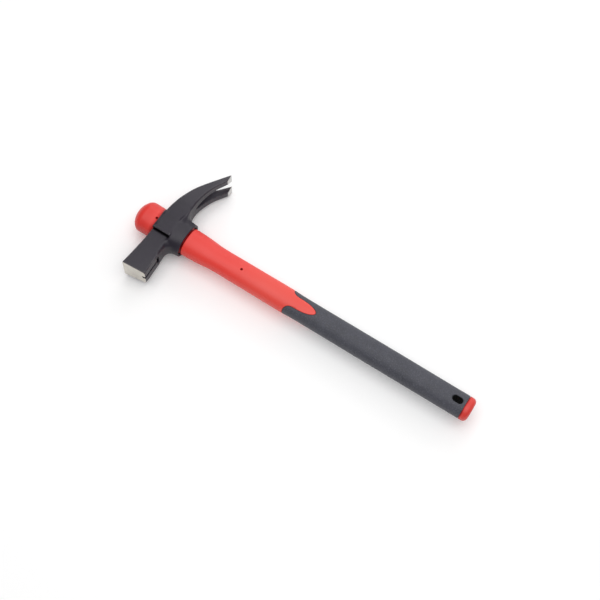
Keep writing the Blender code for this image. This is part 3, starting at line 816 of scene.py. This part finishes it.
def joint_row(offset, sink):
    """Row of points beside the joint: offset along the surface, sunk below it."""
    x = JOINT_X + JOINT_NX * offset
    phi = phi_of((JOINT_G + JOINT_NG * offset) % _whole)
    return on_oval(x, phi, casing_a(x), sink), x, JOINT_G + JOINT_NG * offset


EVEN_G = _whole * np.arange(AROUND) / AROUND


def even_row(x, a=None, sink=0.0):
    return on_oval(x, phi_of(EVEN_G), casing_a(x) if a is None else a, sink)


def blend_rows(x_from, g_from, x_to, g_to, count):
    """Rows between two rows that are given on the unrolled surface, both left out."""
    rows = []
    for k in range(1, count):
        f = k / count
        x = x_from + (x_to - x_from) * f
        g = g_from + (g_to - g_from) * smoothstep(0.0, 1.0, f)
        rows.append(on_oval(x, phi_of(g % _whole), casing_a(x)))
    return rows


class Skin:
    """Rows of points round the handle, joined to faces, with holes let in."""

    def __init__(self):
        self.points, self.faces, self.rows = [], [], []

    def add(self, points):
        first = len(self.points)
        self.points.extend(np.asarray(points, float).tolist())
        return list(range(first, len(self.points)))

    def row(self, points):
        self.rows.append(self.add(points))
        return len(self.rows) - 1

    def band(self, first, second, skip=()):
        n = len(first)
        for j in range(n):
            if j in skip:
                continue
            k = (j + 1) % n
            self.faces.append((first[j], second[j], second[k], first[k]))

    def close(self, row, middle, turn):
        centre = self.add([middle])[0]
        n = len(row)
        for j in range(n):
            k = (j + 1) % n
            face = (row[j], row[k], centre)
            self.faces.append(face if turn else face[::-1])

    def loop_of(self, r0, r1, c0, c1):
        """Border of a block of rows and columns, once round."""
        rows = self.rows
        cols = [c % AROUND for c in range(c0, c1 + 1)]
        loop = [rows[r0][c] for c in cols]
        loop += [rows[r][cols[-1]] for r in range(r0 + 1, r1 + 1)]
        loop += [rows[r1][c] for c in cols[-2::-1]]
        loop += [rows[r][cols[0]] for r in range(r1 - 1, r0, -1)]
        return loop


def capsule_reach(dx, dy, half, radius):
    """Distance from the middle to a capsule's outline along a direction."""
    length = math.hypot(dx, dy)
    ux, uy = abs(dx) / length, abs(dy) / length
    if uy > 1e-9 and ux * radius / uy <= half:
        return radius / uy
    return half * ux + math.sqrt(max(radius * radius - (half * uy) ** 2, 0.0))


def let_in(skin, loop, middle, half, radius, rim, sign, rings=3):
    """Fills a block's border down to a hole's rounded rim and returns the hole's top ring."""
    x_mid, y_mid = middle
    border = np.array([skin.points[i] for i in loop])
    out = []
    for k in range(1, rings + 1):
        out.append((k / rings, rim, 0.0))
    for k in range(1, 6):
        t = math.radians(18.0 * k)
        out.append((1.0, rim * (1.0 - math.sin(t)), rim * (1.0 - math.cos(t))))
    last = loop
    for share, offset, depth in out:
        ring = []
        for bx, by, _ in border:
            dx, dy = bx - x_mid, by - y_mid
            reach = capsule_reach(dx, dy, half, radius + offset)
            length = math.hypot(dx, dy)
            tx, ty = x_mid + dx / length * reach, y_mid + dy / length * reach
            x, y = bx + (tx - bx) * share, by + (ty - by) * share
            ring.append((x, y, sign * (float(oval_top(x, y)) - depth)))
        ids = skin.add(ring)
        skin.band(last, ids) if sign > 0 else skin.band(ids, last)
        last = ids
    return last


def skinned(skin, blocks):
    """Joins the rows, leaving out the blocks: (first row, last row, first column, last column)."""
    for r in range(len(skin.rows) - 1):
        skip = set()
        for r0, r1, c0, c1 in blocks:
            if r0 <= r < r1:
                skip |= {c % AROUND for c in range(c0, c1)}
        skin.band(skin.rows[r], skin.rows[r + 1], skip)


TOP, BOTTOM = QUARTER, 3 * QUARTER


def build_casing():
    """Red moulding: domed knob, flared shaft and the tongue that runs into the grip."""
    skin = Skin()
    for x, a in knob_rows():
        row = np.array(even_row(x, a))
        row[:, 0] += KNOB_LEAN * row[:, 1] * min(1.0, max(0.0, (a - 3.0) / 9.0))
        skin.row(row)
    for x in (-45.2, -43.5, -41.8):
        skin.row(even_row(x))
    blocks = []

    def hole_rows(x_mid):
        first = len(skin.rows)
        for x in np.linspace(x_mid - 2.7, x_mid + 2.7, 15):
            skin.row(even_row(x))
        blocks.append((first, len(skin.rows) - 1, TOP - 8, TOP + 8))

    for x in np.linspace(-40.0, -37.9, 4):
        skin.row(even_row(x))
    hole_rows(PIN_HOLES[0][0])
    for x in (-31.0, -27.0, -22.0, -16.0, -10.0, -5.0, -2.0):
        skin.row(even_row(x))
    # fine relief where the handle leaves the collar
    for x, sink in ((-1.7, 0.0), (-1.5, 0.6), (-1.4, 2.6), (-0.4, 2.8), (0.56, 2.8), (0.82, 1.6),
                    (0.97, 0.55), (1.12, 0.18), (1.35, 0.05), (1.7, 0.0)):
        skin.row(even_row(x, None, sink))
    for x in np.arange(2.6, 58.2, 1.35):
        skin.row(even_row(x))
    hole_rows(PIN_HOLES[1][0])
    for x in np.arange(65.2, 100.5, 2.2):
        skin.row(even_row(x))
    last_x = 99.9 + 0.5
    edge_rows = [joint_row(-offset, sink) for offset, sink in
                 ((1.1, 0.0), (0.7, 0.008), (0.48, 0.03), (0.34, 0.075), (0.24, 0.15), (0.18, 0.27),
                  (0.15, 0.6), (0.15, 1.6))]
    _, x_to, g_to = edge_rows[0]
    for row in blend_rows(np.full(AROUND, last_x), EVEN_G, x_to, g_to, 16):
        skin.row(row)
    for row, _, _ in edge_rows:
        skin.row(row)
    # step down to the inner tube, which runs on under the grip
    x = JOINT_X - JOINT_NX * 0.15
    phi = phi_of(JOINT_G % _whole)
    skin.row(on_oval(x, phi, TUBE_A - GAP))
    skin.row(on_oval(np.full(AROUND, 150.0), phi, TUBE_A - GAP))
    skin.row(on_oval(np.full(AROUND, 284.5), phi, TUBE_A - GAP))
    # and the bore for the core, open at that end
    skin.row(on_oval(np.full(AROUND, 284.5), phi, BORE_A))
    skin.row(on_oval(np.full(AROUND, 150.0), phi, BORE_A))
    skin.row(on_oval(np.full(AROUND, 50.0), phi, BORE_A))
    skin.row(on_oval(np.full(AROUND, BORE_TOP), phi, BORE_A))
    skinned(skin, blocks)
    skin.close(skin.rows[0], (KNOB_END - 0.0, 0.0, 0.0), False)
    skin.close(skin.rows[-1], (BORE_TOP, 0.0, 0.0), True)
    inside = []
    for (r0, r1, c0, c1), (x_mid, y_mid, radius) in zip(blocks, PIN_HOLES):
        loop = skin.loop_of(r0, r1, c0, c1)
        ring = let_in(skin, loop, (x_mid, y_mid), 0.0, radius, 0.22, 1)
        wall = np.array([skin.points[i] for i in ring])
        top = wall[:, 2].mean()
        first = len(skin.points)
        for depth in (0.5, 1.2, 2.3, 3.3):
            floor = wall.copy()
            floor[:, 2] = top - depth
            ids = skin.add(floor)
            skin.band(ring, ids)
            ring = ids
        skin.close(ring, (x_mid, y_mid, top - 3.5), False)
        inside += range(first, len(skin.points))
    made = mesh_object("casing_moulding", skin.points, skin.faces, [RED_LOOK])
    x = np.array(skin.points)[:, 0]
    # painted shade on the red where the knob meets the head, in the groove at the collar's rim and inside the
    # pin holes
    painted_red_shade = np.maximum(0.7 * smoothstep(-37.2, -32.8, x) * (x < -20.0),
                     smoothstep(1.5, 0.75, x) * (x > -2.5))
    painted_red_shade[inside] = 0.6
    mark(made, "painted_red_shade", painted_red_shade)
    # the moulding is a shade deeper at the knob and paler along the shaft towards the tongue
    mark(made, "deeper_at_knob", 0.85 * smoothstep(-34.0, -44.0, x))
    mark(made, "paler_on_shaft", 0.9 * smoothstep(40.0, 92.0, x))
    tidy(made)
    return made


def build_grip():
    """Grey over-moulding with side lobes round the tongue and a hanging hole whose wall gets painted shade."""
    skin = Skin()
    inner_phi = phi_of(JOINT_G % _whole)
    skin.row(on_oval(np.full(AROUND, 285.5), inner_phi, TUBE_A + GAP))
    skin.row(on_oval(np.full(AROUND, 152.0), inner_phi, TUBE_A + GAP))
    skin.row(on_oval(JOINT_X + JOINT_NX * 0.15, inner_phi, TUBE_A + GAP))
    inner_rows = 3
    edge_rows = [joint_row(offset, sink) for offset, sink in
                 ((0.15, 1.6), (0.15, 0.6), (0.18, 0.27), (0.24, 0.15), (0.34, 0.075), (0.5, 0.028),
                  (0.9, 0.0))]
    for row, _, _ in edge_rows:
        skin.row(row)
    _, x_from, g_from = edge_rows[-1]
    for row in blend_rows(x_from, g_from, np.full(AROUND, 162.0), EVEN_G, 22):
        skin.row(row)
    for x in np.arange(162.0, 286.9, 3.1):
        skin.row(even_row(x))
    first = len(skin.rows)
    for x in np.linspace(287.9, 302.1, 21):
        skin.row(even_row(x))
    last = len(skin.rows) - 1
    end = CAP_LINE - 2 * GAP
    for x, sink in ((302.7, 0.0), (end - 0.1, 0.0), (end, 0.08), (end, 1.0), (end - 0.6, 1.0)):
        skin.row(even_row(x, None, sink))
    blocks = [(first, last, TOP - 15, TOP + 15), (first, last, BOTTOM - 15, BOTTOM + 15)]
    skinned(skin, blocks)
    skin.close(skin.rows[0], (285.5, 0.0, 0.0), False)
    skin.close(skin.rows[-1], (end - 0.6, 0.0, 0.0), True)
    half = (HANG_LENGTH - HANG_WIDTH) / 2.0
    rims = []
    for (r0, r1, c0, c1), sign in zip(blocks, (1, -1)):
        loop = skin.loop_of(r0, r1, c0, c1)
        if sign < 0:
            # start opposite the upper loop's start, so that the two match
            points = np.array([skin.points[i] for i in loop])
            loop = loop[::-1]
            target = np.array(rims[0][1][:2])
            flat = np.array([skin.points[i][:2] for i in loop])
            start = int(np.argmin(((flat - target) ** 2).sum(1)))
            loop = loop[start:] + loop[:start]
        rims.append((let_in(skin, loop, (HANG_X, 0.0), half, HANG_WIDTH / 2.0, 0.75, sign),
                     skin.points[loop[0]]))
    upper, lower = rims[0][0], rims[1][0]
    top = np.array([skin.points[i] for i in upper])
    bottom = np.array([skin.points[i] for i in lower])
    ring = upper
    hole_wall = []
    for f in (0.03, 0.1, 0.3, 0.5, 0.7, 0.9, 0.97):
        ids = skin.add(top + (bottom - top) * f)
        skin.band(ring, ids)
        hole_wall += ids
        ring = ids
    skin.band(ring, lower)
    made = mesh_object("grip_overmould", skin.points, skin.faces, [GRIP_LOOK], 38.0)
    # painted shade on the hanging hole's wall and on the grip's end at the cap
    painted_grip_shade = np.zeros(len(skin.points))
    painted_grip_shade[hole_wall] = 1.0
    painted_grip_shade[skin.rows[-1] + skin.rows[-2] + skin.rows[-3]] = 0.9
    mark(made, "painted_grip_shade", painted_grip_shade)
    tidy(made)
    return made


def build_cap():
    """Red butt cap with a soft corner and a faintly crowned end."""
    skin = Skin()
    neck = CAP_LINE - 2 * GAP - 0.45
    for x, sink in ((neck, 1.15), (CAP_LINE, 1.15), (CAP_LINE, 0.08), (CAP_LINE + 0.1, 0.0),
                    (CAP_LINE + 0.6, 0.0)):
        skin.row(even_row(x, 11.9, sink))
    for x in (305.2, 306.1, 306.9):
        skin.row(even_row(x, 11.85 + 0.05 * (306.9 - x) / 3.3))
    for k in range(1, 17):
        t = math.radians(84.0 * k / 16)
        skin.row(even_row(306.9 + (BUTT_END - 0.22 - 306.9) * math.sin(t) / math.sin(math.radians(84.0)),
                          11.85 - 4.6 * (1.0 - math.cos(t))))
    rim = 11.85 - 4.6 * (1.0 - math.cos(math.radians(84.0)))
    for k in range(1, 9):
        r = rim * (1.0 - k / 8.6)
        skin.row(even_row(BUTT_END - 0.22 * (r / rim) ** 2, r))
    skinned(skin, [])
    skin.close(skin.rows[0], (neck, 0.0, 0.0), False)
    skin.close(skin.rows[-1], (BUTT_END, 0.0, 0.0), True)
    made = mesh_object("butt_cap_moulding", skin.points, skin.faces, [CAP_LOOK], 38.0)
    # painted shade at the cap's joint with the grip
    mark(made, "painted_red_shade", 0.85 * smoothstep(CAP_LINE + 1.3, CAP_LINE + 0.05, np.array(skin.points)[:, 0]))
    return made


casing, grip, cap = build_casing(), build_grip(), build_cap()

for piece, cad, slot in ((head, "forged_head", "forged_black"),
                         (casing, "handle_casing", "red_plastic"),
                         (grip, "grip_sleeve", "grey_grip"),
                         (cap, "butt_cap", "red_cap")):
    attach(piece, "root")
    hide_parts(cad)

for cad, look in (("handle_core", core_look()), ("nail_magnet", magnet_look())):
    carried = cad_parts[cad]
    if not carried.material_slots:
        carried.data.materials.append(look)
    for held in carried.material_slots:
        held.material = look

# ------------------------------------------------------- floor, light and camera
floor_look, tree, shader, where = new_look("pale_floor")
tone = noise(tree, where, 3.0, 2.0)
tree.links.new(mix_colour(tree, tone, (0.91, 0.91, 0.91, 1), (0.94, 0.94, 0.94, 1)),
               shader.inputs["Base Color"])
shader.inputs["Roughness"].default_value = 0.9
shader.inputs["Specular IOR Level"].default_value = 0.1
shader.inputs["Emission Color"].default_value = (1.0, 1.0, 1.0, 1.0)
shader.inputs["Emission Strength"].default_value = 0.1
floor_mesh = bpy.data.meshes.new("floor")
floor_mesh.from_pydata([(-4, -4, -0.0003), (4, -4, -0.0003), (4, 4, -0.0003), (-4, 4, -0.0003)],
                       [], [(0, 1, 2, 3)])
floor_mesh.materials.append(floor_look)
floor = bpy.data.objects.new("floor", floor_mesh)
scene.collection.objects.link(floor)

world = bpy.data.worlds.new("studio")
scene.world = world
world.use_nodes = True
backdrop = world.node_tree.nodes["Background"]
backdrop.inputs["Color"].default_value = (1.0, 1.0, 1.0, 1.0)
backdrop.inputs["Strength"].default_value = 0.38


def softbox(name, location, target, size, power):
    light = bpy.data.lights.new(name, "AREA")
    light.shape = "RECTANGLE"
    light.size, light.size_y = size
    light.energy = power
    obj = bpy.data.objects.new(name, light)
    obj.location = location
    obj.rotation_euler = (Vector(target) - Vector(location)).to_track_quat("-Z", "Y").to_euler()
    scene.collection.objects.link(obj)


softbox("top_softbox", (0.0, -0.13, 1.6), (0.0, -0.13, 0.0), (1.65, 1.65), 17.0)
softbox("key_softbox", (-0.35, 1.1, 1.15), (0.0, 0.0, 0.02), (1.0, 1.0), 3.5)
softbox("rear_softbox", (0.0, 1.9, 0.75), (0.0, 0.0, 0.02), (2.8, 1.5), 9.8)
softbox("side_softbox", (1.15, 0.6, 0.95), (0.0, 0.0, 0.0), (0.8, 0.8), 1.0)

camera_data = bpy.data.cameras.new("camera")
camera_data.sensor_fit = "HORIZONTAL"
camera_data.sensor_width = 36.0
camera_data.lens = 66.0
camera_data.clip_start, camera_data.clip_end = 0.05, 50.0
camera = bpy.data.objects.new("camera", camera_data)
right = Vector((0.84515, 0.53244, 0.04725)).normalized()
back = Vector((0.17113, -0.35326, 0.91974)).normalized()
up = back.cross(right).normalized()
right = up.cross(back)
turn = Matrix((right, up, back)).transposed().to_4x4()
camera.matrix_world = Matrix.Translation(place((299.14, -357.86, 951.06))) @ turn
scene.collection.objects.link(camera)
scene.camera = camera
scene.view_settings.view_transform = "Standard"
scene.view_settings.look = "None"

bpy.context.view_layer.update()
